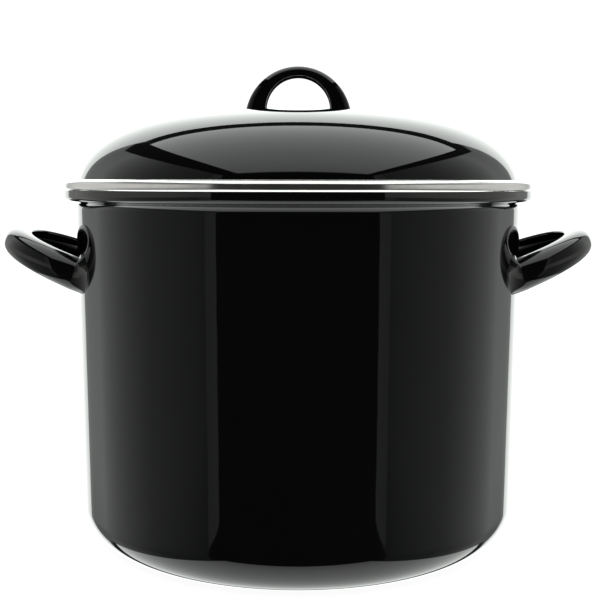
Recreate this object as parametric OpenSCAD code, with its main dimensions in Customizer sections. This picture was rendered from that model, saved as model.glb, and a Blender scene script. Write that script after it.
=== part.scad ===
// Water bath canner: an enamelled steel stock pot with a bright rim band, a domed lid
// and a seven-jar wire rack that stands on the floor of the pot.
// Millimetres, +Z up. The origin is the centre of the pot's flat base.

/* [Pot] */
// Outer radius of the pot at its neck
pot_r = 160.5; // [156:0.5:166]
// How much narrower the wall is at the base corner than at the neck
pot_taper = 2.6; // [0:0.2:4]
// Height at which the neck starts to flare
neck_z = 239.7; // [225:0.1:260]
// Radius of the corner between base and wall
corner_r = 27; // [22:1:32]
// Thickness of the enamelled sheet
sheet = 1.2; // [0.8:0.1:1.6]

/* [Rim] */
// How far the wall steps outward between neck and rim
rim_step = 8.9; // [8:0.1:11]
// Height of the steel band crimped over the rim
band_h = 7.5; // [7:0.5:9]
// Sheet thickness of the band
band_t = 0.7; // [0.5:0.1:0.9]

/* [Lid] */
// Height of the dome above the lid's skirt
dome_h = 56.7; // [45:0.1:65]
// Squareness of the dome, higher is flatter on top
dome_power = 3.4; // [2.6:0.1:4]
// Radius of the curled edge of the lid
bead_r = 1.5; // [1.2:0.1:1.8]
// Height of the lid handle above the dome
lid_grip_h = 32.6; // [30:0.2:40]
// Width of the lid handle's strap
lid_strap_w = 24; // [18:1:30]

/* [Side handles] */
// Distance from the pot's axis to the tip of a side handle
tip_x = 214; // [205:1:222]
// Half width of the loop from front to back
loop_half = 64; // [60:1:68]
// Angle at which the loop rises from the wall
loop_tilt = 22; // [12:1:26]
// Height of the loop's middle plane where it leaves the wall
loop_z = 192.2; // [180:0.1:200]
// Height of the centre of the flared feet
foot_z = 206; // [198:0.5:212]
// Half width of the flared feet, along the wall
foot_half_w = 20.5; // [18:0.5:22]
// Half height of the flared feet
foot_half_h = 25; // [22:0.5:27]

/* [Rack] */
// Radius of the outer ring of the rack
rack_r = 146; // [143:0.5:147]
// Height of the centre line of the spokes
spoke_z = 20.2; // [18:0.1:26]
// Height of the dividers above the spokes
divider_h = 48; // [40:1:56]
// Wire radius of the rings, spokes and dividers
wire_r = 2; // [1.8:0.1:2.2]
// Wire radius of the folding handles
bail_r = 2.25; // [2:0.05:2.4]
// Length of a folding handle from its pivot to its top bar
bail_h = 195; // [170:1:198]
// Outward lean of a folding handle at rest
bail_lean = 3.5; // [2:0.5:3.5]

/* [Hidden] */
$fn = 96;
SPOKES = 12;
JARS_AROUND = 6;
EYELETS = 4;
function numbered(name, count) = [for (i = [1:count]) str(name, "_", i)];

// Pot profile: neck fillet, straight seat cone and roll into the rim
wall_low_r = pot_r - pot_taper;
rim_r = pot_r + rim_step;
fillet_r = 5;
roll_r = 3.5;
seat_turn = 75;
seat_dr = rim_step - (fillet_r + roll_r) * (1 - cos(seat_turn));
seat_z = neck_z + fillet_r * sin(seat_turn);
roll_z = seat_z + seat_dr / tan(seat_turn) + roll_r * sin(seat_turn);
band_z0 = roll_z + 3.9;
band_z1 = band_z0 + band_h;
edge_z = band_z1 - 2.4;
arc_steps = 10;

// Band: turned under against the wall, an upright face outside the pot's edge, a slope
// that rises inward over the edge, and a roll down inside it
band_out_r = rim_r + 2;
band_inner_r = rim_r - 3.5;
band_inner_z = band_z0 + 1.4;
band_low_roll = 2.1;
band_top_roll = 2.4;
band_in_roll = 1;
band_slope = 70;
band_roll_z = band_z1 - band_in_roll;
band_slope_dr = band_out_r - band_inner_r - band_top_roll - band_in_roll
    + (band_top_roll - band_in_roll) * cos(band_slope);
band_shoulder_z = band_roll_z - band_slope_dr / tan(band_slope)
    - (band_top_roll - band_in_roll) * sin(band_slope);
band_steps = 7;

// Lid: the curled edge rests on the seat cone with a small gap
seat_gap = 0.3;
lid_r = pot_r - 1;
bead_cr = lid_r + 3.3;
bead_off = sheet + seat_gap + bead_r;
bead_seat_r = bead_cr + bead_off * cos(seat_turn);
bead_seat_z = seat_z + (bead_seat_r - (pot_r + fillet_r * (1 - cos(seat_turn)))) / tan(seat_turn);
bead_cz = bead_seat_z + bead_off * sin(seat_turn);
flange_z = bead_cz + bead_r;
skirt_fillet = 1.8;
skirt_z = flange_z + skirt_fillet + 2;
apex_z = skirt_z + dome_h;
dome_steps = 36;

// Wire rack
floor_gap = 0.3;
weld = 0.3;
outer_wire_r = 2.5;
outer_ring_z = spoke_z - wire_r - outer_wire_r + weld;
inner_ring_z = spoke_z - 2 * wire_r + weld;
middle_r = 96;
centre_r = 30;
foot_bend_r = spoke_z - sheet - floor_gap - wire_r;
rack_foot_cr = 118;
divider_in = 62;
divider_out = 100;
divider_bend = 9;
eyelet_x = 136;
eyelet_y = 50;
eyelet_len = 6;
eyelet_wall = 2.2;
bail_play = 0.05;
eyelet_or = bail_r + bail_play + eyelet_wall;
eyelet_z = outer_ring_z + outer_wire_r + eyelet_or - weld;
bail_half = 41;
bail_top_half = 24;
bail_straight = 0.74;
bail_crank = 5;
bail_aside = [0.8, 0, -0.6];
// The pins are exact cylinders, a hair thicker than the bent wire that runs into them
pin_inner_y = 45;
pin_outer_y = 55;
pin_overlap = 1.5;
pin_step = 0.05;
bend_cut = 4;
BEND_STEPS = 5;
WIRE_SIDES = 12;

enamel = [0.02, 0.02, 0.022];
steel = [0.78, 0.78, 0.77];
chrome_wire = [0.72, 0.73, 0.74];

function arc(cx, cz, rx, rz, a0, a1, n) =
    [for (i = [0:n]) let (a = a0 + (a1 - a0) * i / n) [cx + rx * cos(a), cz + rz * sin(a)]];
function reversed(list) = [for (i = [len(list) - 1:-1:0]) list[i]];
function spow(v, e) = sign(v) * pow(abs(v), e);

// ---- pot -------------------------------------------------------------------
function pot_path(t) = concat(
    [[0, t]],
    arc(wall_low_r - corner_r, corner_r, corner_r - t, corner_r - t, -90, 0, arc_steps),
    arc(pot_r + fillet_r, neck_z, fillet_r + t, fillet_r + t, 180, 180 - seat_turn, arc_steps),
    arc(rim_r - roll_r, roll_z, roll_r - t, roll_r - t, -seat_turn, 0, arc_steps),
    [[rim_r - t, edge_z]]
);

module pot_shell() {
    color(enamel)
        rotate_extrude()
            polygon(concat(pot_path(0), reversed(pot_path(sheet))));
}

function band_corner(r, z, roll, t, from, to) = arc(r, z, roll - t, roll - t, from, to, band_steps);
function band_path(t) = concat(
    band_corner(band_out_r - band_low_roll, band_z0 + band_low_roll, band_low_roll, t, -90, 0),
    band_corner(band_out_r - band_top_roll, band_shoulder_z, band_top_roll, t, 0, band_slope),
    band_corner(band_inner_r + band_in_roll, band_roll_z, band_in_roll, t, band_slope, 180),
    [[band_inner_r + t, band_inner_z]]
);

module pot_rim_band() {
    color(steel)
        rotate_extrude()
            polygon(concat(band_path(0), reversed(band_path(band_t))));
}

// ---- pressed strap handles ---------------------------------------------------
// One ring of points round a strap: a crowned outer face from edge to edge, then the
// hollow inner face back again. at_in and at_out are the inner and outer middle points.
CROWN_STEPS = 12;
HOLLOW_STEPS = 8;
function strap_ring(at_in, at_out, across, half_w, hollow, crown, edge) = concat(
    [for (i = [0:CROWN_STEPS])
        let (s = -90 + 180 * i / CROWN_STEPS)
        at_in + (at_out - at_in) * spow(cos(s), crown) + across * half_w * spow(sin(s), crown)],
    [for (i = [0:HOLLOW_STEPS])
        let (s = 90 - 180 * i / HOLLOW_STEPS)
        at_in + (at_out - at_in) * hollow * cos(s) + across * (half_w - edge) * sin(s)]
);
ring_n = CROWN_STEPS + HOLLOW_STEPS + 2;
// Direction round a foot that belongs to each point of a ring: [away from the grip, across]
ring_dirs = concat(
    [for (i = [0:CROWN_STEPS]) let (s = -90 + 180 * i / CROWN_STEPS) [cos(s), sin(s)]],
    [for (i = [0:HOLLOW_STEPS]) let (s = 84 - 168 * i / HOLLOW_STEPS) [-cos(s), sin(s)]]
);

function mean(points) = [for (i = [0:len(points) - 1]) 1] * points / len(points);

module skin(rings) {
    n = len(rings[0]);
    last = len(rings) - 1;
    points = concat([for (r = rings) for (p = r) p], [mean(rings[0]), mean(rings[last])]);
    sides = [for (k = [0:last - 1]) for (i = [0:n - 1])
        let (a = k * n + i, b = k * n + (i + 1) % n)
        for (f = [[a, b, b + n], [a, b + n, a + n]]) f];
    cap_0 = [for (i = [0:n - 1]) [(last + 1) * n, (i + 1) % n, i]];
    cap_1 = [for (i = [0:n - 1]) [(last + 1) * n + 1, last * n + i, last * n + (i + 1) % n]];
    polyhedron(points = points, faces = concat(sides, cap_0, cap_1), convexity = 6);
}

// Side handle, drawn for +X. e runs outward in the loop's plane, y along the wall.
root_x = 147;
leg_depth = 10;
tip_depth = 16;
strap_wall = 1.8;
root_half_w = 11.6;
tip_half_w = 10.4;
loop_power = 2.2;
side_crown = 0.8;
foot_y = 60;
foot_reach = 9;
foot_sink = 0.6;
foot_steps = 6;
loop_steps = 30;
out_dir = [cos(loop_tilt), 0, sin(loop_tilt)];
up_dir = [-sin(loop_tilt), 0, cos(loop_tilt)];
loop_len = (tip_x - root_x) / cos(loop_tilt);
loop_t0 = asin(pow(foot_reach / loop_len, loop_power / 2));
function wall_r(z) = wall_low_r + (z - corner_r) * pot_taper / (neck_z - corner_r);
function loop_point(t, at_tip, at_leg) =
    [root_x, 0, loop_z] + out_dir * (loop_len - at_tip) * spow(sin(t), 2 / loop_power)
    - [0, 1, 0] * (loop_half - at_leg) * spow(cos(t), 2 / loop_power);
function loop_ring(t) =
    let (reach = spow(sin(t), 2 / loop_power))
    let (fade = min(1, max(0, (reach * loop_len - foot_reach) / 14)))
    let (at_in = loop_point(t, tip_depth, leg_depth), at_out = loop_point(t, 0, 0))
    let (keep = 1 - strap_wall / norm(at_out - at_in))
    strap_ring(at_in, at_out, up_dir,
        root_half_w + (tip_half_w - root_half_w) * reach, keep * fade, side_crown, strap_wall);
function onto_wall(p) =
    p - out_dir * (p[0] - sqrt(pow(wall_r(p[2]) - foot_sink, 2) - p[1] * p[1])) / cos(loop_tilt);
function foot_point(dir, side) =
    let (y = side * (foot_y + foot_half_w * dir[0]), z = foot_z + foot_half_h * dir[1])
    [sqrt(pow(wall_r(z) - foot_sink, 2) - y * y), y, z];
// turn runs from 0 where the leg begins to flare to 90 at the wall
function foot_ring(ring, side, turn) =
    [for (i = [0:ring_n - 1])
        let (p = ring[i], q = onto_wall(p), f = foot_point(ring_dirs[i], side))
        p + (q - p) * sin(turn) + (f - q) * (1 - cos(turn))];

module side_handle() {
    near = loop_ring(loop_t0);
    far = loop_ring(180 - loop_t0);
    skin(concat(
        [for (k = [foot_steps:-1:1]) foot_ring(near, -1, 90 * k / foot_steps)],
        [for (k = [0:loop_steps]) loop_ring(loop_t0 + (180 - 2 * loop_t0) * k / loop_steps)],
        [for (k = [1:foot_steps]) foot_ring(far, 1, 90 * k / foot_steps)]
    ));
}

module side_handle_right() {
    color(enamel)
        side_handle();
}

module side_handle_left() {
    color(enamel)
        mirror([1, 0, 0])
            side_handle();
}

// ---- lid -----------------------------------------------------------------------
function dome_z(r) = skirt_z + dome_h * sqrt(1 - pow(r / lid_r, dome_power));
// Points of the dome's outer face, and the same points moved inward by the sheet
function dome_path(t) = [for (i = [0:dome_steps])
    let (r = lid_r * sin(90 * i / dome_steps), d = 0.01)
    let (slope = i == dome_steps ? 1e6 : (dome_z(max(0, r - d)) - dome_z(r)) / d)
    let (run = i == 0 ? 0 : slope / sqrt(1 + slope * slope), rise = sqrt(1 - run * run))
    [r - t * run, (i == dome_steps ? skirt_z : dome_z(r)) - t * rise]];

module lid_shell() {
    outer = concat(
        dome_path(0),
        arc(lid_r + skirt_fillet, flange_z + skirt_fillet, skirt_fillet, skirt_fillet, 180, 270, 6),
        arc(bead_cr, bead_cz, bead_r, bead_r, 90, -150, 12)
    );
    inner = concat(
        dome_path(sheet),
        [[lid_r - sheet, flange_z - sheet + 1], [lid_r - sheet + 1, flange_z - sheet]]
    );
    color(enamel)
        rotate_extrude()
            polygon(concat(outer, reversed(inner)));
}

// Lid handle: an arch across X with a round outer line and a round inner line
grip_top_z = apex_z + lid_grip_h;
grip_out_r = 39;
grip_in_r = 24.3;
grip_crest = 6.4;
grip_out_z = grip_top_z - grip_out_r;
grip_in_z = grip_top_z - grip_crest - grip_in_r;
grip_sink = 0.6;
grip_foot = 2.2;
grip_foot_h = 2.4;
grip_wall = 1.8;
grip_crown = 0.5;
grip_steps = 32;
grip_foot_steps = 4;
grip_base_z = dome_z(grip_out_r) - grip_sink;
grip_a0 = asin((grip_base_z + grip_foot_h - grip_out_z) / grip_out_r);
grip_drop = (grip_in_z - grip_base_z - grip_foot_h) / grip_in_r * 180 / PI;
function grip_inner(a) =
    a < 0 ? [grip_in_r, 0, grip_in_z + grip_in_r * a * PI / 180]
    : a > 180 ? [-grip_in_r, 0, grip_in_z - grip_in_r * (a - 180) * PI / 180]
    : [grip_in_r * cos(a), 0, grip_in_z + grip_in_r * sin(a)];
function grip_outer(a) = [grip_out_r * cos(a), 0, grip_out_z + grip_out_r * sin(a)];
function grip_ring(u) =
    let (ao = grip_a0 + (180 - 2 * grip_a0) * u, ai = -grip_drop + (180 + 2 * grip_drop) * u)
    let (at_in = grip_inner(ai), at_out = grip_outer(ao))
    let (fade = min(1, 8 * min(u, 1 - u)))
    strap_ring(at_in, at_out, [0, 1, 0], lid_strap_w / 2,
        fade * (1 - grip_wall / norm(at_out - at_in)), grip_crown, grip_wall);
// side is 1 for the leg at +X; the foot spreads as it comes down to the dome
function grip_foot_ring(ring, side, turn) =
    [for (i = [0:ring_n - 1])
        let (p = ring[i], d = ring_dirs[i], spread = grip_foot * (1 - cos(turn)))
        [p[0] + side * d[0] * spread, p[1] + d[1] * spread,
            p[2] + (grip_base_z - p[2]) * sin(turn)]];

module lid_handle() {
    right = grip_ring(0);
    left = grip_ring(1);
    color(enamel)
        skin(concat(
            [for (k = [grip_foot_steps:-1:1]) grip_foot_ring(right, 1, 90 * k / grip_foot_steps)],
            [for (k = [0:grip_steps]) grip_ring(k / grip_steps)],
            [for (k = [1:grip_foot_steps]) grip_foot_ring(left, -1, 90 * k / grip_foot_steps)]
        ));
}

// ---- rack -----------------------------------------------------------------------
module wire_ring(r, z, w, sweep = 360) {
    translate([0, 0, z])
        rotate_extrude(angle = sweep)
            translate([r, 0])
                circle(r = w, $fn = 32);
}

module rod(a, b, r) {
    v = b - a;
    translate(a)
        rotate([0, acos(v[2] / norm(v)), atan2(v[1], v[0])])
            cylinder(h = norm(v), r = r, $fn = 32);
}

// A round wire along a path of points, as one closed skin. aside is never along the path.
function unit(v) = v / norm(v);
function bend(p, a, b) =
    let (cut = min(bend_cut, 0.45 * norm(p - a), 0.45 * norm(b - p)))
    let (from = p + unit(a - p) * cut, to = p + unit(b - p) * cut)
    [for (k = [0:BEND_STEPS]) let (t = k / BEND_STEPS)
        from * pow(1 - t, 2) + p * 2 * t * (1 - t) + to * pow(t, 2)];
function rounded(points) = concat(
    [points[0]],
    [for (i = [1:len(points) - 2]) each bend(points[i], points[i - 1], points[i + 1])],
    [points[len(points) - 1]]
);
function heading(path, i) = unit(
    (i == 0 ? [0, 0, 0] : unit(path[i] - path[i - 1]))
    + (i == len(path) - 1 ? [0, 0, 0] : unit(path[i + 1] - path[i])));
function wire_rings(path, r, aside) = [for (i = [0:len(path) - 1])
    let (t = heading(path, i), u = unit(cross(t, aside)), w = cross(u, t))
    [for (k = [0:WIRE_SIDES - 1])
        path[i] + r * (u * cos(360 * k / WIRE_SIDES) + w * sin(360 * k / WIRE_SIDES))]];

module rack_outer_ring() {
    color(chrome_wire)
        wire_ring(rack_r, outer_ring_z, outer_wire_r);
}

module rack_middle_ring() {
    color(chrome_wire)
        wire_ring(middle_r, inner_ring_z, wire_r);
}

module rack_centre_ring() {
    color(chrome_wire)
        wire_ring(centre_r, inner_ring_z, wire_r);
}

module rack_spoke(i) {
    color(chrome_wire)
        rotate([0, 0, 360 / SPOKES * (i - 1)])
            rod([centre_r - wire_r, 0, spoke_z], [rack_r + 1.5, 0, spoke_z], wire_r);
}

// Upside-down U between two neighbouring jars
module rack_divider(i) {
    top = spoke_z + divider_h;
    mid = (divider_in + divider_out) / 2;
    half = (divider_out - divider_in) / 2;
    color(chrome_wire)
        rotate([0, 0, 360 / JARS_AROUND * (i - 0.5)])
            translate([mid, 0, 0]) {
                for (s = [-1, 1])
                    rod([s * half, 0, spoke_z], [s * half, 0, top - divider_bend], wire_r);
                for (s = [0, 180])
                    rotate([0, 0, s])
                        translate([half - divider_bend, 0, top - divider_bend])
                            rotate([90, 0, 0])
                                wire_ring(divider_bend, 0, wire_r, 90);
                rod([divider_bend - half, 0, top], [half - divider_bend, 0, top], wire_r);
            }
}

// Half-round foot under a spoke
module rack_foot(i) {
    color(chrome_wire)
        rotate([0, 0, 360 / JARS_AROUND * (i - 1)])
            translate([rack_foot_cr, 0, spoke_z])
                rotate([-90, 0, 0])
                    wire_ring(foot_bend_r, 0, wire_r, 180);
}

// Short tube that carries one end of a folding handle
module rack_eyelet(i) {
    sx = i <= 2 ? -1 : 1;
    sy = i % 2 == 1 ? -1 : 1;
    color(chrome_wire)
        translate([sx * eyelet_x, sy * eyelet_y + eyelet_len / 2, eyelet_z])
            rotate([90, 0, 0])
                difference() {
                    cylinder(h = eyelet_len, r = eyelet_or, $fn = 48);
                    translate([0, 0, -1])
                        cylinder(h = eyelet_len + 2, r = bail_r + bail_play, $fn = 48);
                }
}

// Folding handle, drawn for +X: pin, leg, narrower top with an outward crank, leg, pin
function bail_at(h, y, out) =
    [eyelet_x + h * sin(bail_lean) + out, y, eyelet_z + h * cos(bail_lean)];
module rack_handle() {
    half_path = [
        [eyelet_x, pin_inner_y + pin_overlap, eyelet_z],
        [eyelet_x, bail_half, eyelet_z],
        bail_at(bail_h * bail_straight, bail_half, 0),
        bail_at(bail_h - bail_crank, bail_top_half, 0),
        bail_at(bail_h, bail_top_half, bail_crank)
    ];
    other_half = [for (p = reversed(half_path)) [p[0], -p[1], p[2]]];
    color(chrome_wire) {
        skin(wire_rings(rounded(concat(half_path, other_half)), bail_r - pin_step, bail_aside));
        for (s = [-1, 1])
            rod([eyelet_x, s * pin_inner_y, eyelet_z], [eyelet_x, s * pin_outer_y, eyelet_z], bail_r);
    }
}

module rack_handle_right() {
    rack_handle();
}

module rack_handle_left() {
    mirror([1, 0, 0])
        rack_handle();
}

pot_shell();
pot_rim_band();
side_handle_left();
side_handle_right();
lid_shell();
lid_handle();
rack_outer_ring();
rack_middle_ring();
rack_centre_ring();
for (i = [1:SPOKES])
    rack_spoke(i);
for (i = [1:JARS_AROUND])
    rack_divider(i);
for (i = [1:JARS_AROUND])
    rack_foot(i);
for (i = [1:EYELETS])
    rack_eyelet(i);
rack_handle_left();
rack_handle_right();
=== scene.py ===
"""Looks of the water bath canner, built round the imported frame: an enamelled pot with a
steel rim band, a domed lid and a wire jar rack.

Metres, +Z up. The origin is the centre of the pot's base, and the front faces -Y.
"""
import math
import random

import bmesh
import bpy
from mathutils import Matrix, Vector, noise


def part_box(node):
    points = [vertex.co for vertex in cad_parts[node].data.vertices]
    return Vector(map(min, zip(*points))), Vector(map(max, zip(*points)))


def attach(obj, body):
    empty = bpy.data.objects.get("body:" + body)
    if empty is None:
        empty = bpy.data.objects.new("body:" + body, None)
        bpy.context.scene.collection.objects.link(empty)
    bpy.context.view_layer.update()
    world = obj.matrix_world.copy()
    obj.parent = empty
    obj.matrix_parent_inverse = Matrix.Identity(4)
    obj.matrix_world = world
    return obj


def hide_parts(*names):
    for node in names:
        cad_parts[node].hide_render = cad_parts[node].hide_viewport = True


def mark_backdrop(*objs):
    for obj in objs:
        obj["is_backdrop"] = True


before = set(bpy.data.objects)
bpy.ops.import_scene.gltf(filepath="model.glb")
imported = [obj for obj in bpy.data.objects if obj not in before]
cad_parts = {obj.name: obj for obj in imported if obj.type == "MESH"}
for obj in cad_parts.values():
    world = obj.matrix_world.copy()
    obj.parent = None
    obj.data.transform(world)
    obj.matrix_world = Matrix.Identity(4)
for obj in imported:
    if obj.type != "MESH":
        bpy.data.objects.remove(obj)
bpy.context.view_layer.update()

MM = 0.001
X_AXIS = Vector((1, 0, 0))
Y_AXIS = Vector((0, 1, 0))


# ---- measures: boxes of the CAD nodes, and the sheet-metal details between them ----------
SHEET = 1.2 * MM
LATHE_STEPS = 288

pot_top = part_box("pot_shell")[1]
RIM_R = pot_top.x
EDGE_Z = pot_top.z
POT_R = RIM_R - 8.9 * MM
POT_TAPER = 2.6 * MM
CORNER_R = 27 * MM
NECK_Z = EDGE_Z - 17.907 * MM
NECK_FILLET = 5 * MM
ROLL_R = 3.5 * MM
SEAT_TURN = 75
ROLL_Z = EDGE_Z - 9 * MM
PANEL_R = 88 * MM
PANEL_RISE = 0.8 * MM
PANEL_EDGE = 4 * MM

band_low, band_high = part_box("pot_rim_band")
BAND_OUT_R = band_high.y
BAND_IN_R = RIM_R - 3.5 * MM
BAND_Z0 = band_low.z
BAND_T = 0.7 * MM
BAND_LOW_ROLL = 2.1 * MM
BAND_TOP_ROLL = 2.4 * MM
BAND_IN_ROLL = 1 * MM
BAND_SLOPE = 70
BAND_ARC_STEPS = 18
BAND_INNER_LIP_Z = BAND_Z0 + 1.4 * MM
BAND_ROLL_Z = band_high.z - BAND_IN_ROLL

lid_low, lid_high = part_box("lid_shell")
BEAD_R = 1.5 * MM
BEAD_Z = lid_low.z + BEAD_R
BEAD_CR = lid_high.x - BEAD_R
LID_R = BEAD_CR - 3.3 * MM
FLANGE_Z = BEAD_Z + BEAD_R
SKIRT_FILLET = 1.8 * MM
SKIRT_Z = FLANGE_Z + SKIRT_FILLET + 2 * MM
APEX_Z = lid_high.z
DOME_H = APEX_Z - SKIRT_Z
DOME_POWER = 3.4


# ---- small geometry helpers -------------------------------------------------------------
def cos(degrees):
    return math.cos(math.radians(degrees))


def sin(degrees):
    return math.sin(math.radians(degrees))


def spow(value, power):
    return math.copysign(abs(value) ** power, value)


def steps(first, last, count):
    """count + 1 values from first to last."""
    return [first + (last - first) * i / count for i in range(count + 1)]


def arc(centre_r, centre_z, radius_r, radius_z, first, last, count):
    return [(centre_r + radius_r * cos(a), centre_z + radius_z * sin(a))
            for a in steps(first, last, count)]


def round_end(p, q, count=8):
    """Points of a half circle from p to q, which closes the cut edge of a sheet."""
    mid_r, mid_z = (p[0] + q[0]) / 2, (p[1] + q[1]) / 2
    ur, uz = p[0] - mid_r, p[1] - mid_z
    return [(mid_r + ur * cos(a) - uz * sin(a), mid_z + uz * cos(a) + ur * sin(a))
            for a in steps(0, 180, count)[1:-1]]


def loft(rings, loop=False, capped=False):
    """Vertices and faces of a skin over rings of points. loop joins the last ring to the first."""
    count = len(rings[0])
    spans = len(rings) if loop else len(rings) - 1
    faces = []
    for k in range(spans):
        a = k * count
        b = (k + 1) % len(rings) * count
        for i in range(count):
            j = (i + 1) % count
            faces.append((a + i, a + j, b + j, b + i))
    if capped:
        last = (len(rings) - 1) * count
        faces.append(tuple(range(count)))
        faces.append(tuple(range(last, last + count)))
    return [p for ring in rings for p in ring], faces


def lathe(outline):
    """A closed (radius, height) outline turned about the pot's axis."""
    rings = [[Vector((r * cos(a), r * sin(a), z)) for r, z in outline]
             for a in steps(0, 360, LATHE_STEPS)[:-1]]
    return loft(rings, loop=True)


def piece(name, shape, body, slot, material, *nodes):
    """A smooth mesh object that rides on a body and stands for CAD nodes."""
    mesh = bpy.data.meshes.new(name)
    mesh.from_pydata(shape[0], [], shape[1])
    bm = bmesh.new()
    bm.from_mesh(mesh)
    bmesh.ops.remove_doubles(bm, verts=bm.verts, dist=0.001 * MM)
    bmesh.ops.recalc_face_normals(bm, faces=bm.faces)
    bm.to_mesh(mesh)
    bm.free()
    mesh.shade_smooth()
    mesh.materials.append(material)
    obj = bpy.data.objects.new(name, mesh)
    bpy.context.scene.collection.objects.link(obj)
    if nodes:
        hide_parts(*nodes)
    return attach(obj, body)


# ---- materials --------------------------------------------------------------------------
class Paint:
    """A material under construction, painted in the object's own coordinates."""

    def __init__(self, name):
        self.material = bpy.data.materials.new(name)
        self.material.use_nodes = True
        self.tree = self.material.node_tree
        self.shader = self.tree.nodes["Principled BSDF"]
        self.place = self.add("ShaderNodeTexCoord").outputs["Object"]

    def add(self, kind, **settings):
        node = self.tree.nodes.new(kind)
        for key, value in settings.items():
            setattr(node, key, value)
        return node

    def plug(self, value, socket):
        if isinstance(value, bpy.types.NodeSocket):
            self.tree.links.new(value, socket)
        else:
            socket.default_value = value

    def noise(self, scale, detail=2.0, where=None, rough=0.5):
        node = self.add("ShaderNodeTexNoise")
        self.plug(where or self.place, node.inputs["Vector"])
        node.inputs["Scale"].default_value = scale
        node.inputs["Detail"].default_value = detail
        node.inputs["Roughness"].default_value = rough
        return node.outputs["Fac"]

    def math(self, operation, a, b=0.0):
        node = self.add("ShaderNodeMath", operation=operation)
        self.plug(a, node.inputs[0])
        self.plug(b, node.inputs[1])
        return node.outputs[0]

    def fit(self, value, low, high, to_low, to_high):
        """Maps low..high to to_low..to_high with a smooth step, clamped."""
        node = self.add("ShaderNodeMapRange", interpolation_type="SMOOTHSTEP")
        self.plug(value, node.inputs["Value"])
        for key, number in (("From Min", low), ("From Max", high),
                            ("To Min", to_low), ("To Max", to_high)):
            self.plug(number, node.inputs[key])
        return node.outputs["Result"]

    def mix(self, share, a, b):
        node = self.add("ShaderNodeMix", data_type="RGBA")
        self.plug(share, node.inputs[0])
        self.plug(a, node.inputs[6])
        self.plug(b, node.inputs[7])
        return node.outputs[2]

    def bump(self, height, distance, below=None):
        node = self.add("ShaderNodeBump")
        node.inputs["Strength"].default_value = 1.0
        node.inputs["Distance"].default_value = distance
        self.plug(height, node.inputs["Height"])
        if below:
            self.plug(below, node.inputs["Normal"])
        return node.outputs["Normal"]

    def height(self):
        split = self.add("ShaderNodeSeparateXYZ")
        self.plug(self.place, split.inputs[0])
        return split.outputs["Z"]

    def set(self, **values):
        for key, value in values.items():
            self.plug(value, self.shader.inputs[key.replace("_", " ")])
        return self.material


def enamel(name, rubbed_below=None):
    """Fired black enamel: a glassy surface with a slow wave, fine orange peel, faint haze
    marks and a browner, duller line where it thins over an edge."""
    p = Paint(name)
    cloud = p.noise(9, 3)
    thin = p.fit(p.add("ShaderNodeNewGeometry").outputs["Pointiness"], 0.53, 0.66, 0, 0.7)
    black = p.mix(cloud, (0.0006, 0.0006, 0.0007, 1), (0.0014, 0.0014, 0.0016, 1))
    dust = p.fit(p.noise(1500, 0), 0.74, 0.8, 0, 0.25)
    black = p.mix(dust, black, (0.012, 0.012, 0.013, 1))
    colour = p.mix(thin, black, (0.007, 0.005, 0.004, 1))
    haze = p.fit(p.noise(26, 6, rough=0.7), 0.5, 0.8, 0.03, 0.1)
    if rubbed_below:
        rub = p.fit(p.height(), 0, rubbed_below, 1, 0)
        rub = p.math("MULTIPLY", rub, p.fit(p.noise(120, 4), 0.35, 0.6, 0.3, 1))
        colour = p.mix(rub, colour, (0.06, 0.055, 0.05, 1))
        haze = p.math("ADD", haze, p.math("MULTIPLY", rub, 0.35))
    wave = p.bump(p.noise(34, 1), 0.045 * MM)
    peel = p.bump(p.noise(380, 1), 0.003 * MM, wave)
    return p.set(Base_Color=colour, Roughness=haze, Normal=peel, IOR=1.5)


def band_steel(name):
    """Polished stainless band with fine turning lines round the pot."""
    p = Paint(name)
    flat = p.add("ShaderNodeVectorMath", operation="MULTIPLY")
    p.plug(p.place, flat.inputs[0])
    flat.inputs[1].default_value = (1, 1, 0)
    length = p.add("ShaderNodeVectorMath", operation="LENGTH")
    p.plug(flat.outputs[0], length.inputs[0])
    ring = p.add("ShaderNodeCombineXYZ")
    p.plug(length.outputs["Value"], ring.inputs[0])
    p.plug(p.height(), ring.inputs[2])
    lines = p.noise(5200, 3, ring.outputs[0], 0.7)
    patch = p.noise(22, 2)
    smudge = p.noise(60, 5, rough=0.65)
    tone = p.mix(patch, (0.66, 0.655, 0.64, 1), (0.78, 0.775, 0.765, 1))
    tone = p.mix(p.fit(lines, 0.55, 0.75, 0, 0.25), tone, (0.5, 0.49, 0.48, 1))
    gloss = p.math("ADD", p.fit(smudge, 0.35, 0.75, 0.09, 0.2), p.math("MULTIPLY", lines, 0.08))
    normal = p.bump(lines, 0.0012 * MM, p.bump(p.noise(70, 1), 0.02 * MM))
    return p.set(Base_Color=tone, Roughness=gloss, Normal=normal, Metallic=1.0)


def plated_wire(name):
    """Bright plating over drawn wire, yellowed and duller where welding heated it."""
    p = Paint(name)
    heat = p.add("ShaderNodeAttribute", attribute_name="heat").outputs["Fac"]
    heat = p.math("MULTIPLY", heat, p.fit(p.noise(420, 3), 0.3, 0.7, 0.55, 1))
    cloud = p.noise(48, 4, rough=0.6)
    tone = p.mix(cloud, (0.60, 0.61, 0.62, 1), (0.76, 0.77, 0.78, 1))
    tone = p.mix(heat, tone, (0.40, 0.33, 0.25, 1))
    pits = p.noise(1900, 3, rough=0.7)
    tone = p.mix(p.fit(pits, 0.66, 0.74, 0, 0.5), tone, (0.22, 0.21, 0.2, 1))
    gloss = p.math("ADD", p.fit(cloud, 0.3, 0.7, 0.14, 0.26), p.math("MULTIPLY", heat, 0.22))
    normal = p.bump(pits, 0.006 * MM, p.bump(p.noise(260, 2), 0.02 * MM))
    return p.set(Base_Color=tone, Roughness=gloss, Normal=normal, Metallic=1.0)


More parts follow.
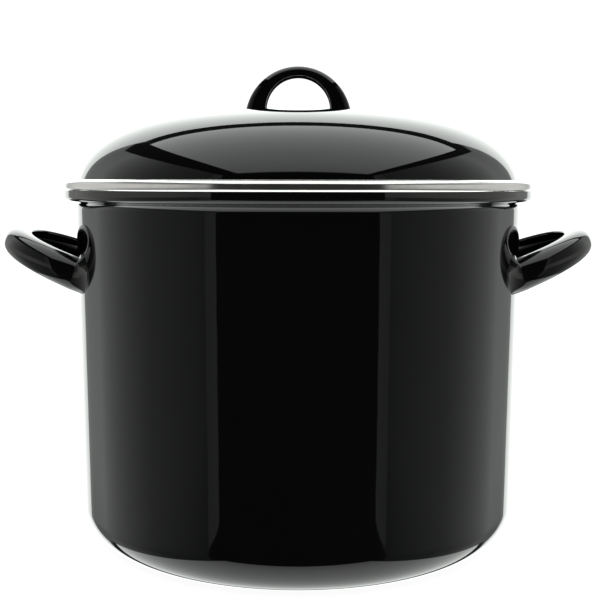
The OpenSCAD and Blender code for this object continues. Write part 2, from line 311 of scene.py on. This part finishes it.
pot_enamel = enamel("pot_enamel", rubbed_below=1.6 * MM)
lid_enamel = enamel("lid_enamel")
handle_enamel = enamel("handle_enamel")
steel = band_steel("rim_band_steel")
plating = plated_wire("rack_plating")


# ---- pot --------------------------------------------------------------------------------
def pot_path(inset):
    """The pot's outer profile, from the axis to the rim, moved inward by inset."""
    low_r = POT_R - POT_TAPER
    wall_low_z = CORNER_R
    panel = [(PANEL_R + PANEL_EDGE * s, inset + PANEL_RISE * (0.5 - 0.5 * sin(90 * s)))
             for s in steps(-1, 1, 12)]
    wall = [(low_r + POT_TAPER * s, wall_low_z + (NECK_Z - wall_low_z) * s)
            for s in steps(0, 1, 16)]
    wall = [(r - inset, z) for r, z in wall[1:-1]]
    return ([(0, inset + PANEL_RISE), (PANEL_R / 2, inset + PANEL_RISE)]
            + panel
            + arc(low_r - CORNER_R, CORNER_R, CORNER_R - inset, CORNER_R - inset, -90, 0, 28)
            + wall
            + arc(POT_R + NECK_FILLET, NECK_Z, NECK_FILLET + inset, NECK_FILLET + inset,
                  180, 180 - SEAT_TURN, 14)
            + arc(RIM_R - ROLL_R, ROLL_Z, ROLL_R - inset, ROLL_R - inset, -SEAT_TURN, 0, 14)
            + [(RIM_R - inset, EDGE_Z - SHEET / 2)])


def pot_shell():
    outer = pot_path(0)
    inner = pot_path(SHEET)
    outline = outer + round_end(outer[-1], inner[-1]) + inner[::-1]
    piece("pot_shell_enamelled", lathe(outline), "pot", "black_enamel", pot_enamel, "pot_shell")


def band_path(inset):
    """Turned under below, an upright face, a slope over the pot's edge and an inner roll."""
    roll_gap = BAND_TOP_ROLL - BAND_IN_ROLL
    slope_run = (BAND_OUT_R - BAND_IN_R - BAND_TOP_ROLL - BAND_IN_ROLL
                 + roll_gap * cos(BAND_SLOPE))
    shoulder_z = (BAND_ROLL_Z - slope_run * cos(BAND_SLOPE) / sin(BAND_SLOPE)
                  - roll_gap * sin(BAND_SLOPE))

    def corner(r, z, roll, first, last):
        return arc(r, z, roll - inset, roll - inset, first, last, BAND_ARC_STEPS)

    return (corner(BAND_OUT_R - BAND_LOW_ROLL, BAND_Z0 + BAND_LOW_ROLL, BAND_LOW_ROLL, -90, 0)
            + corner(BAND_OUT_R - BAND_TOP_ROLL, shoulder_z, BAND_TOP_ROLL, 0, BAND_SLOPE)
            + corner(BAND_IN_R + BAND_IN_ROLL, BAND_ROLL_Z, BAND_IN_ROLL, BAND_SLOPE, 180)
            + [(BAND_IN_R + inset, BAND_INNER_LIP_Z + BAND_T / 2)])


def pot_rim_band():
    outer = band_path(0)
    inner = band_path(BAND_T)
    outline = (outer + round_end(outer[-1], inner[-1])
               + inner[::-1] + round_end(inner[0], outer[0]))
    piece("pot_rim_band_polished", lathe(outline), "pot", "rim_steel", steel, "pot_rim_band")


# ---- pressed strap handles --------------------------------------------------------------
CROWN_STEPS = 56
EDGE_STEPS = 8
HOLLOW_STEPS = 40
EDGE_TURN = 6
STRAP_WALL = 1.8 * MM
crown_angles = [90 * sin(90 * u) for u in steps(-1, 1, CROWN_STEPS)]
edge_angles = steps(0, 180, EDGE_STEPS)[1:-1]
hollow_angles = steps(90, -90, HOLLOW_STEPS)
# Direction round a foot that belongs to each point of a strap's ring
foot_angles = (crown_angles
               + [90 + EDGE_TURN * a / 180 for a in edge_angles]
               + steps(90 + EDGE_TURN, 270 - EDGE_TURN, HOLLOW_STEPS)
               + [270 - EDGE_TURN + EDGE_TURN * a / 180 for a in edge_angles])


def strap_ring(at_in, at_out, across, half_w, hollow, crown):
    """Crowned outer face, rolled edge, hollow inner face and rolled edge of a strap."""
    depth = at_out - at_in
    roll = STRAP_WALL / 2
    inward = -depth.normalized() * roll
    ring = [at_in + depth * spow(cos(a), crown) + across * half_w * spow(sin(a), crown)
            for a in crown_angles]
    ring += [at_in + across * (half_w - roll + roll * cos(a)) + inward * sin(a)
             for a in edge_angles]
    ring += [at_in + depth * hollow * cos(a) + across * (half_w - STRAP_WALL) * sin(a)
             for a in hollow_angles]
    ring += [at_in - across * (half_w - roll + roll * cos(a)) + inward * sin(a)
             for a in reversed(edge_angles)]
    return ring


side_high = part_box("side_handle_right")[1]
TIP_X = side_high.x - 1.0 * MM
ROOT_X = 147 * MM
LOOP_Z = 192.2 * MM
LOOP_TILT = 22
LOOP_HALF = 64 * MM
LOOP_POWER = 2.2
LEG_DEPTH = 10 * MM
TIP_DEPTH = 16 * MM
ROOT_HALF_W = 11.6 * MM
TIP_HALF_W = 10.4 * MM
SIDE_CROWN = 0.8
FOOT_Y = 60 * MM
FOOT_Z = 206 * MM
FOOT_HALF_W = 20.5 * MM
FOOT_HALF_H = 25 * MM
FOOT_REACH = 9 * MM
FOOT_SINK = 0.6 * MM
HOLLOW_FADE = 14 * MM
LOOP_STEPS = 120
FOOT_STEPS = 24
loop_out = Vector((cos(LOOP_TILT), 0, sin(LOOP_TILT)))
loop_up = Vector((-sin(LOOP_TILT), 0, cos(LOOP_TILT)))
loop_len = (TIP_X - ROOT_X) / cos(LOOP_TILT)
loop_start = math.degrees(math.asin((FOOT_REACH / loop_len) ** (LOOP_POWER / 2)))


def wall_r(z):
    return POT_R - POT_TAPER + (z - CORNER_R) * POT_TAPER / (NECK_Z - CORNER_R)


def loop_point(turn, at_tip, at_leg):
    """A point of the loop, moved inward by at_tip at its tip and by at_leg along its legs."""
    reach = spow(sin(turn), 2 / LOOP_POWER)
    aside = spow(cos(turn), 2 / LOOP_POWER)
    root = Vector((ROOT_X, 0, LOOP_Z))
    return root + loop_out * (loop_len - at_tip) * reach - Y_AXIS * (LOOP_HALF - at_leg) * aside


def loop_ring(turn):
    reach = spow(sin(turn), 2 / LOOP_POWER)
    fade = min(1, max(0, (reach * loop_len - FOOT_REACH) / HOLLOW_FADE))
    fade = fade * fade * (3 - 2 * fade)
    at_in = loop_point(turn, TIP_DEPTH, LEG_DEPTH)
    at_out = loop_point(turn, 0, 0)
    hollow = fade * (1 - STRAP_WALL / (at_out - at_in).length)
    return strap_ring(at_in, at_out, loop_up,
                      ROOT_HALF_W + (TIP_HALF_W - ROOT_HALF_W) * reach, hollow, SIDE_CROWN)


def wall_x(y, z):
    return math.sqrt((wall_r(z) - FOOT_SINK) ** 2 - y * y)


def side_foot_ring(ring, side, turn):
    """The leg's ring on its way to a round foot on the pot's wall, which it meets at 90."""
    moved = []
    for p, angle in zip(ring, foot_angles):
        on_wall = p - loop_out * (p.x - wall_x(p.y, p.z)) / cos(LOOP_TILT)
        y = side * (FOOT_Y + FOOT_HALF_W * cos(angle))
        z = FOOT_Z + FOOT_HALF_H * sin(angle)
        on_foot = Vector((wall_x(y, z), y, z))
        moved.append(p + (on_wall - p) * sin(turn) + (on_foot - on_wall) * (1 - cos(turn)))
    return moved


def side_handle(name, mirror):
    near = loop_ring(loop_start)
    far = loop_ring(180 - loop_start)
    turns = steps(0, 90, FOOT_STEPS)[1:]
    rings = [side_foot_ring(near, -1, turn) for turn in reversed(turns)]
    rings += [loop_ring(turn) for turn in steps(loop_start, 180 - loop_start, LOOP_STEPS)]
    rings += [side_foot_ring(far, 1, turn) for turn in turns]
    rings = [[Vector((mirror * p.x, p.y, p.z)) for p in ring] for ring in rings]
    piece(name + "_enamelled", loft(rings, capped=True), "pot", "black_enamel",
          handle_enamel, name)


# ---- lid --------------------------------------------------------------------------------
DOME_STEPS = 90


def dome_z(r):
    return SKIRT_Z + DOME_H * math.sqrt(max(0, 1 - (r / LID_R) ** DOME_POWER))


def dome_path(inset):
    """The dome's outer face from the apex to the skirt, moved inward by inset."""
    path = [(0, APEX_Z - inset)]
    nudge = 0.01 * MM
    for a in steps(0, 90, DOME_STEPS)[1:-1]:
        r = LID_R * sin(a)
        slope = (dome_z(r - nudge) - dome_z(r + nudge)) / (2 * nudge)
        run = slope / math.hypot(1, slope)
        rise = 1 / math.hypot(1, slope)
        path.append((r - inset * run, dome_z(r) - inset * rise))
    return path + [(LID_R - inset, SKIRT_Z)]


def lid_shell():
    outer = (dome_path(0)
             + arc(LID_R + SKIRT_FILLET, FLANGE_Z + SKIRT_FILLET, SKIRT_FILLET, SKIRT_FILLET,
                   180, 270, 12)
             + arc(BEAD_CR, BEAD_Z, BEAD_R, BEAD_R, 90, -150, 36))
    turn_r = 1.0 * MM
    inner = (dome_path(SHEET)
             + arc(LID_R - SHEET + turn_r, FLANGE_Z - SHEET + turn_r, turn_r, turn_r, 180, 270, 8))
    piece("lid_shell_enamelled", lathe(outer + inner[::-1]), "lid", "black_enamel",
          lid_enamel, "lid_shell")


grip_low, grip_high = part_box("lid_handle")
GRIP_TOP_Z = grip_high.z
GRIP_BASE_Z = grip_low.z
GRIP_HALF_W = 12 * MM
GRIP_OUT_R = 39 * MM
GRIP_IN_R = 24.3 * MM
GRIP_CREST = 6.4 * MM
GRIP_FOOT = 2.2 * MM
GRIP_FOOT_H = 2.4 * MM
GRIP_CROWN = 0.5
GRIP_STEPS = 110
GRIP_FOOT_STEPS = 14
GRIP_FADE = 8
grip_out_z = GRIP_TOP_Z - GRIP_OUT_R
grip_in_z = GRIP_TOP_Z - GRIP_CREST - GRIP_IN_R
grip_start = math.degrees(math.asin((GRIP_BASE_Z + GRIP_FOOT_H - grip_out_z) / GRIP_OUT_R))
grip_drop = math.degrees((grip_in_z - GRIP_BASE_Z - GRIP_FOOT_H) / GRIP_IN_R)


def grip_inner(angle):
    """The arch's inner line: straight down on both legs, and a half circle between them."""
    below = max(0, -angle, angle - 180)
    on_arc = min(180, max(0, angle))
    return Vector((GRIP_IN_R * cos(on_arc), 0,
                   grip_in_z + GRIP_IN_R * sin(on_arc) - GRIP_IN_R * math.radians(below)))


def grip_ring(share):
    turn_out = grip_start + (180 - 2 * grip_start) * share
    turn_in = -grip_drop + (180 + 2 * grip_drop) * share
    at_in = grip_inner(turn_in)
    at_out = Vector((GRIP_OUT_R * cos(turn_out), 0, grip_out_z + GRIP_OUT_R * sin(turn_out)))
    fade = min(1, GRIP_FADE * min(share, 1 - share))
    fade = fade * fade * (3 - 2 * fade)
    hollow = fade * (1 - STRAP_WALL / (at_out - at_in).length)
    return strap_ring(at_in, at_out, Y_AXIS, GRIP_HALF_W, hollow, GRIP_CROWN)


def grip_foot_ring(ring, side, turn):
    """A leg's end on its way down to the dome, spreading a little as it comes."""
    spread = GRIP_FOOT * (1 - cos(turn))
    return [Vector((p.x + side * cos(a) * spread, p.y + sin(a) * spread,
                    p.z + (GRIP_BASE_Z - p.z) * sin(turn)))
            for p, a in zip(ring, foot_angles)]


def lid_handle():
    right = grip_ring(0)
    left = grip_ring(1)
    turns = steps(0, 90, GRIP_FOOT_STEPS)[1:]
    rings = [grip_foot_ring(right, 1, turn) for turn in reversed(turns)]
    rings += [grip_ring(share) for share in steps(0, 1, GRIP_STEPS)]
    rings += [grip_foot_ring(left, -1, turn) for turn in turns]
    piece("lid_handle_enamelled", loft(rings, capped=True), "lid", "black_enamel",
          handle_enamel, "lid_handle")


# ---- wire rack --------------------------------------------------------------------------
SPOKES = 12
JARS_AROUND = 6
WIRE_SIDES = 20
RING_STEPS = 240
HEAT_REACH = 9 * MM

welds = []


def box_middle(node):
    low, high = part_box(node)
    return (low + high) / 2


def sweep(path, radius, closed=False, head=0.0):
    """A round wire along a path. Its ends are domed, or upset into heads of radius head."""
    count = len(path)
    rings = []
    aside = None
    for i, here in enumerate(path):
        before = path[i - 1] if closed or i else here
        after = path[(i + 1) % count] if closed or i < count - 1 else here
        along = (after - before).normalized()
        if aside is None:
            aside = along.orthogonal()
        aside = (aside - along * aside.dot(along)).normalized()
        other = along.cross(aside)
        shape = [(0, radius)]
        if not closed and i in (0, count - 1):
            shape = end_shape(radius, head)
            if i == 0:
                shape = [(-offset, r) for offset, r in reversed(shape)]
        for offset, r in shape:
            rings.append([here + along * offset + (aside * cos(a) + other * sin(a)) * r
                          for a in steps(0, 360, WIRE_SIDES)[:-1]])
    return loft(rings, loop=closed, capped=not closed)


def end_shape(radius, head):
    """Offsets and radii of a wire's end: a shallow dome, with a small head before it."""
    if head:
        neck = [(-1.5 * MM, radius), (-1.35 * MM, head * 0.93), (-1.1 * MM, head)]
        return neck + [(-0.5 * MM * (1 - sin(a)), head * cos(a)) for a in steps(0, 80, 5)]
    dome = 0.35 * radius
    return [(-dome * (1 - sin(a)), radius * (0.55 + 0.45 * cos(a))) for a in steps(0, 90, 5)]


def wire(name, shape, body, *nodes):
    obj = piece(name, shape, body, "rack_wire", plating, *nodes)
    heat = obj.data.attributes.new("heat", "FLOAT", "POINT")
    near = [min((v.co - w).length for w in welds) for v in obj.data.vertices]
    glow = [max(0, 1 - d / HEAT_REACH) ** 2 for d in near]
    heat.data.foreach_set("value", glow)
    return obj


def turned(point, angle):
    return Matrix.Rotation(math.radians(angle), 3, "Z") @ point


def ring_facts(node):
    """Wire radius, ring radius and height of a ring node."""
    low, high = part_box(node)
    radius = (high.z - low.z) / 2
    return radius, high.x - radius, (low.z + high.z) / 2


ring_nodes = ["rack_outer_ring", "rack_middle_ring", "rack_centre_ring"]
spoke_low, spoke_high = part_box("rack_spoke_1")
spoke_z = (spoke_low.z + spoke_high.z) / 2
spoke_wire_r = (spoke_high.z - spoke_low.z) / 2
divider_low, divider_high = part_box("rack_divider_2")
divider_wire_r = (divider_high.x - divider_low.x) / 2
divider_in = divider_low.y + divider_wire_r
divider_out = divider_high.y - divider_wire_r
divider_top = divider_high.z - divider_wire_r
DIVIDER_BEND = 9 * MM
foot_low, foot_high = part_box("rack_foot_1")
foot_wire_r = (foot_high.y - foot_low.y) / 2
foot_bend_r = (foot_high.x - foot_low.x) / 2 - foot_wire_r
foot_mid_x = (foot_low.x + foot_high.x) / 2
EYELETS = [f"rack_eyelet_{i}" for i in range(1, 5)]


def spoke_angle(i):
    return 360 / SPOKES * (i - 1)


def find_welds():
    """Every place where two wires of the rack cross or meet."""
    for node in ring_nodes:
        radius, ring_r, z = ring_facts(node)
        for i in range(1, SPOKES + 1):
            welds.append(turned(Vector((ring_r, 0, z + radius)), spoke_angle(i)))
    for k in range(JARS_AROUND):
        for r in (divider_in, divider_out):
            welds.append(turned(Vector((r, 0, spoke_z + spoke_wire_r)), spoke_angle(2 * k + 2)))
        for side in (-1, 1):
            end = Vector((foot_mid_x + side * foot_bend_r, 0, spoke_z - spoke_wire_r))
            welds.append(turned(end, spoke_angle(2 * k + 1)))
    for node in EYELETS:
        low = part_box(node)[0]
        mid = box_middle(node)
        welds.append(Vector((mid.x, mid.y, low.z + 0.3 * MM)))


def rack_rings():
    for node in ring_nodes:
        radius, ring_r, z = ring_facts(node)
        path = [Vector((ring_r * cos(a), ring_r * sin(a), z))
                for a in steps(0, 360, RING_STEPS)[:-1]]
        wire(node + "_wire", sweep(path, radius, closed=True), "rack", node)


def rack_spokes():
    for i in range(1, SPOKES + 1):
        path = [turned(Vector((x, 0, spoke_z)), spoke_angle(i))
                for x in steps(spoke_low.x, spoke_high.x, 40)]
        node = f"rack_spoke_{i}"
        wire(node + "_wire", sweep(path, spoke_wire_r), "rack", node)


def bend_arc(centre_x, centre_z, first, last, count=12):
    return [(centre_x + DIVIDER_BEND * cos(a), centre_z + DIVIDER_BEND * sin(a))
            for a in steps(first, last, count)]


def rack_dividers():
    shoulder = divider_top - DIVIDER_BEND
    flat = [(divider_in, z) for z in steps(spoke_z, shoulder, 8)[:-1]]
    flat += bend_arc(divider_in + DIVIDER_BEND, shoulder, 180, 90)
    flat += [(x, divider_top) for x in
             steps(divider_in + DIVIDER_BEND, divider_out - DIVIDER_BEND, 6)[1:-1]]
    flat += bend_arc(divider_out - DIVIDER_BEND, shoulder, 90, 0)
    flat += [(divider_out, z) for z in steps(shoulder, spoke_z, 8)[1:]]
    for k in range(1, JARS_AROUND + 1):
        path = [turned(Vector((x, 0, z)), spoke_angle(2 * k)) for x, z in flat]
        node = f"rack_divider_{k}"
        wire(node + "_wire", sweep(path, divider_wire_r), "rack", node)


def rack_feet():
    for k in range(1, JARS_AROUND + 1):
        path = [turned(Vector((foot_mid_x + foot_bend_r * cos(a), 0,
                               spoke_z + foot_bend_r * sin(a))), spoke_angle(2 * k - 1))
                for a in steps(0, -180, 40)]
        node = f"rack_foot_{k}"
        wire(node + "_wire", sweep(path, foot_wire_r), "rack", node)


EYE_WALL = 2.2 * MM
EYE_ROUND = 0.8 * MM


def rack_eyelets():
    """Short sleeves with rounded lips that carry the folding handles."""
    for node in EYELETS:
        low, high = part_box(node)
        mid = (low + high) / 2
        outer = (high.z - low.z) / 2
        bore = outer - EYE_WALL
        half = (high.y - low.y) / 2
        corners = [(outer, half, 0), (outer, -half, 270), (bore, -half, 180), (bore, half, 90)]
        section = []
        for r, y, first in corners:
            centre_r = r - EYE_ROUND if r == outer else r + EYE_ROUND
            centre_y = y - math.copysign(EYE_ROUND, y)
            first_angle = {0: 90, 270: 0, 180: 270, 90: 180}[first]
            section += [(centre_r + EYE_ROUND * cos(a), centre_y + EYE_ROUND * sin(a))
                        for a in steps(first_angle, first_angle - 90, 5)]
        rings = [[mid + Vector((r * cos(a), y, r * sin(a))) for r, y in section]
                 for a in steps(0, 360, 48)[:-1]]
        wire(node + "_sleeve", loft(rings, loop=True), "rack", node)


BEND_CUT = 4 * MM
BAIL_HALF = 41 * MM
BAIL_TOP_HALF = 24 * MM
BAIL_STRAIGHT = 0.74
BAIL_CRANK = 5 * MM
PIN_HEAD = 3.3 * MM


def rounded(points):
    """The same path with each corner replaced by a short smooth bend."""
    path = [points[0]]
    for before, here, after in zip(points, points[1:], points[2:]):
        cut = min(BEND_CUT, 0.45 * (here - before).length, 0.45 * (after - here).length)
        first = here + (before - here).normalized() * cut
        last = here + (after - here).normalized() * cut
        path += [first * (1 - t) ** 2 + here * 2 * t * (1 - t) + last * t * t
                 for t in steps(0, 1, 12)]
    return path + [points[-1]]


def divided(path, longest):
    """The same path with no step longer than longest."""
    fine = [path[0]]
    for a, b in zip(path, path[1:]):
        count = max(1, math.ceil((b - a).length / longest))
        fine += [a.lerp(b, t) for t in steps(0, 1, count)[1:]]
    return fine


def rack_handles():
    """Folding handles: pins in the sleeves, straight legs and a narrower cranked top."""
    low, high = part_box("rack_handle_right")
    pivot = box_middle("rack_eyelet_4")
    bail_r = pivot.x - low.x
    lean = Vector((high.x - bail_r - BAIL_CRANK - pivot.x, 0, high.z - bail_r - pivot.z))

    def bail_at(share, y, out=0.0):
        return Vector((pivot.x, y, pivot.z)) + lean * share + X_AXIS * out

    half_path = [
        Vector((pivot.x, high.y, pivot.z)),
        Vector((pivot.x, BAIL_HALF, pivot.z)),
        bail_at(BAIL_STRAIGHT, BAIL_HALF),
        bail_at(1 - BAIL_CRANK / lean.length, BAIL_TOP_HALF),
        bail_at(1, BAIL_TOP_HALF, BAIL_CRANK),
    ]
    other_half = [Vector((p.x, -p.y, p.z)) for p in reversed(half_path)]
    path = divided(rounded(half_path + other_half), 5 * MM)
    for side, mirror in (("right", 1), ("left", -1)):
        points = [Vector((mirror * p.x, p.y, p.z)) for p in path]
        node = "rack_handle_" + side
        wire(node + "_wire", sweep(points, bail_r - 0.02 * MM, head=PIN_HEAD), node, node)


BEAD_SIZE = Vector((2.7, 2.5, 0.95)) * MM
BEAD_LUMP = 0.16
BEAD_SEED = 7


def weld_beads():
    """Small uneven lumps of melted wire at every crossing."""
    verts = []
    faces = []
    draw = random.Random(BEAD_SEED)
    for weld in welds:
        bm = bmesh.new()
        bmesh.ops.create_icosphere(bm, subdivisions=3, radius=1)
        around = math.degrees(math.atan2(weld.y, weld.x))
        size = BEAD_SIZE * draw.uniform(0.9, 1.08)
        shift = Vector((draw.uniform(0, 9), draw.uniform(0, 9), draw.uniform(0, 9)))
        first = len(verts)
        for v in bm.verts:
            lump = 1 + BEAD_LUMP * noise.noise(v.co * 1.7 + shift)
            verts.append(weld + turned(Vector(a * b * lump for a, b in zip(v.co, size)), around))
        faces += [tuple(first + v.index for v in f.verts) for f in bm.faces]
        bm.free()
    wire("rack_weld_beads", (verts, faces), "rack")


pot_shell()
pot_rim_band()
side_handle("side_handle_right", 1)
side_handle("side_handle_left", -1)
lid_shell()
lid_handle()
find_welds()
rack_rings()
rack_spokes()
rack_dividers()
rack_feet()
rack_eyelets()
rack_handles()
weld_beads()


# ---- studio -----------------------------------------------------------------------------
# Large far panels give the enamel its reflections: a white wall behind, a softbox above, a
# lit plane below, shaded side walls, and darkness in front. The camera sees only a white room
# and floor.
FAR = 9.0


def glow_material(name, colour, strength):
    """An emission material. strength may be a function that paints it on a Paint."""
    p = Paint(name)
    p.tree.nodes.remove(p.shader)
    light = p.add("ShaderNodeEmission")
    light.inputs["Color"].default_value = (*colour, 1)
    p.plug(strength(p) if callable(strength) else strength, light.inputs["Strength"])
    out = next(n for n in p.tree.nodes if n.type == "OUTPUT_MATERIAL")
    p.tree.links.new(light.outputs[0], out.inputs["Surface"])
    return p.material


def stage_mesh(name, verts, faces, material, camera, glossy, diffuse=True):
    mesh = bpy.data.meshes.new(name)
    mesh.from_pydata(verts, [], faces)
    mesh.materials.append(material)
    obj = bpy.data.objects.new(name, mesh)
    bpy.context.scene.collection.objects.link(obj)
    obj.visible_camera = camera
    obj.visible_glossy = glossy
    obj.visible_diffuse = diffuse
    obj.visible_transmission = False
    obj.visible_shadow = False
    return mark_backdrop(obj)


def panel(name, corners, material):
    stage_mesh(name, corners, [(0, 1, 2, 3)], material, camera=False, glossy=True)


def axis_value(p, axis):
    split = p.add("ShaderNodeSeparateXYZ")
    p.plug(p.place, split.inputs[0])
    return split.outputs[axis]


def along(axis, stops):
    """Strength that follows straight lines between (place, strength) stops along an axis."""
    def paint(p):
        value = axis_value(p, axis)
        total = None
        for (a, va), (b, vb) in zip(stops, stops[1:]):
            node = p.add("ShaderNodeMapRange")
            p.plug(value, node.inputs["Value"])
            for key, number in (("From Min", a), ("From Max", b),
                                ("To Min", 0), ("To Max", vb - va)):
                node.inputs[key].default_value = number
            part = node.outputs["Result"]
            total = p.math("ADD", part, stops[0][1] if total is None else total)
        return total
    return paint


STUDIO_WHITE = (0.965, 1.0, 0.975)
BACK_HALF = 0.78 * FAR
BACK_TOP = 1.03 * FAR
BACK_FOOT = -0.75 * FAR
SIDE_TOP = 0.93 * FAR
SIDE_FRONT = -1.2 * FAR
SIDE_FOOT = -0.84 * FAR
STRIP_BACK = -0.98 * FAR
STRIP_FOOT = -0.53 * FAR
LEVEL_LOW = -0.015 * FAR
LEVEL_HIGH = 0.21 * FAR


def back_wall():
    white = glow_material("stage_back_light", STUDIO_WHITE,
                          along("Z", [(0, 2.0), (0.5 * FAR, 2.45)]))
    panel("stage_back_wall",
          [(-BACK_HALF, FAR, BACK_FOOT), (BACK_HALF, FAR, BACK_FOOT),
           (BACK_HALF, FAR, BACK_TOP), (-BACK_HALF, FAR, BACK_TOP)], white)


def top_softbox():
    white = glow_material("stage_top_light", STUDIO_WHITE, along(
        "Y", [(-1.17 * FAR, 0.5), (-1.1 * FAR, 1.3), (-0.5 * FAR, 1.75), (0, 2.1),
              (0.7 * FAR, 2.4)]))
    panel("stage_top_softbox",
          [(-0.76 * FAR, -1.17 * FAR, FAR), (0.9 * FAR, -1.17 * FAR, FAR),
           (0.9 * FAR, 0.75 * FAR, FAR), (-0.76 * FAR, 0.75 * FAR, FAR)], white)


def side_walls():
    """Walls whose light rises from front to back and fades below, with brighter front edges
    and a level stripe that only the upright rim band reflects."""
    stops = [(STRIP_BACK, 0.17), (-0.84 * FAR, 0.2), (-0.58 * FAR, 0.24), (-0.36 * FAR, 0.28),
             (-0.18 * FAR, 0.33), (0, 0.45), (0.25 * FAR, 0.63), (0.58 * FAR, 0.85),
             (0.75 * FAR, 0.7), (FAR, 0.55)]
    fade = [(-0.58 * FAR, 0.6), (-0.33 * FAR, 1.0)]

    def paint(p):
        return p.math("MULTIPLY", along("Y", stops)(p), along("Z", fade)(p))

    grey = glow_material("stage_side_light", STUDIO_WHITE, paint)
    edge = glow_material("stage_edge_light", STUDIO_WHITE,
                         along("Y", [(SIDE_FRONT, 0.30), (STRIP_BACK, 0.26)]))
    level = glow_material("stage_level_light", (1.0, 0.985, 0.955), along(
        "Y", [(-0.9 * FAR, 0.5), (-0.58 * FAR, 0.68), (-0.27 * FAR, 0.72)]))
    for side, name in ((-1, "left"), (1, "right")):
        x = side * FAR
        near_x = side * 0.99 * FAR
        panel("stage_wall_" + name,
              [(x, STRIP_BACK, SIDE_FOOT), (x, FAR, SIDE_FOOT),
               (x, FAR, SIDE_TOP), (x, STRIP_BACK, SIDE_TOP)], grey)
        panel("stage_corner_" + name,
              [(x, FAR, SIDE_FOOT), (side * BACK_HALF, FAR, SIDE_FOOT),
               (side * BACK_HALF, FAR, SIDE_TOP), (x, FAR, SIDE_TOP)], grey)
        panel("stage_edge_" + name,
              [(x, SIDE_FRONT, STRIP_FOOT), (x, STRIP_BACK, STRIP_FOOT),
               (x, STRIP_BACK, SIDE_TOP), (x, SIDE_FRONT, SIDE_TOP)], edge)
        panel("stage_level_" + name,
              [(near_x, SIDE_FRONT, LEVEL_LOW), (near_x, 0.84 * FAR, LEVEL_LOW),
               (near_x, 0.84 * FAR, LEVEL_HIGH), (near_x, SIDE_FRONT, LEVEL_HIGH)], level)


def light_table():
    """A lit plane far below, seen only in reflections. It ends in front of the pot."""
    half = 1.2 * FAR
    front = -1.5 * FAR
    white = glow_material("stage_table_light", STUDIO_WHITE, along(
        "Y", [(front, 1.0), (-1.19 * FAR, 1.2), (-0.75 * FAR, 1.6), (-0.14 * FAR, 2.0),
              (FAR, 2.6)]))
    stage_mesh("stage_table", [(-half, front, -FAR), (half, front, -FAR),
                               (half, FAR, -FAR), (-half, FAR, -FAR)],
               [(0, 1, 2, 3)], white, camera=False, glossy=True, diffuse=False)


FLOOR_HALF = 6.0
FLOOR_DROP = 0.4 * MM


def floor_and_room():
    pale = bpy.data.materials.new("stage_floor_paint")
    pale.use_nodes = True
    shader = pale.node_tree.nodes["Principled BSDF"]
    shader.inputs["Base Color"].default_value = (0.3, 0.3, 0.3, 1)
    shader.inputs["Roughness"].default_value = 0.9
    shader.inputs["Specular IOR Level"].default_value = 0.0
    shader.inputs["Emission Color"].default_value = (1, 1, 1, 1)
    shader.inputs["Emission Strength"].default_value = 0.94
    half = FLOOR_HALF
    stage_mesh("stage_floor", [(-half, -half, -FLOOR_DROP), (half, -half, -FLOOR_DROP),
                               (half, half, -FLOOR_DROP), (-half, half, -FLOOR_DROP)],
               [(0, 1, 2, 3)], pale, camera=True, glossy=False)
    bm = bmesh.new()
    bmesh.ops.create_icosphere(bm, subdivisions=4, radius=3 * FAR)
    verts = [tuple(v.co) for v in bm.verts]
    faces = [tuple(v.index for v in f.verts) for f in bm.faces]
    bm.free()
    white = glow_material("stage_room_white", (1, 1, 1), 1.1)
    stage_mesh("stage_room", verts, faces, white, camera=True, glossy=False, diffuse=False)


def world_fill():
    world = bpy.data.worlds.new("studio_fill")
    world.use_nodes = True
    back = world.node_tree.nodes["Background"]
    back.inputs["Color"].default_value = (1, 1, 1, 1)
    back.inputs["Strength"].default_value = 0.03
    bpy.context.scene.world = world


back_wall()
top_softbox()
side_walls()
light_table()
floor_and_room()
world_fill()


# ---- camera -----------------------------------------------------------------------------
CAMERA_AT = Vector((1.5, -800, 258.8)) * MM
PITCH_DOWN = 0.109
ROLL = 0.0021
FOCAL_IN_WIDTHS = 1.802

lens = bpy.data.cameras.new("camera")
lens.sensor_width = 36
lens.lens = FOCAL_IN_WIDTHS * lens.sensor_width
camera = bpy.data.objects.new("camera", lens)
bpy.context.scene.collection.objects.link(camera)
camera.matrix_world = (Matrix.Translation(CAMERA_AT)
                       @ Matrix.Rotation(math.pi / 2 - PITCH_DOWN, 4, "X")
                       @ Matrix.Rotation(ROLL, 4, "Z"))
bpy.context.scene.camera = camera
bpy.context.scene.view_settings.view_transform = "Standard"
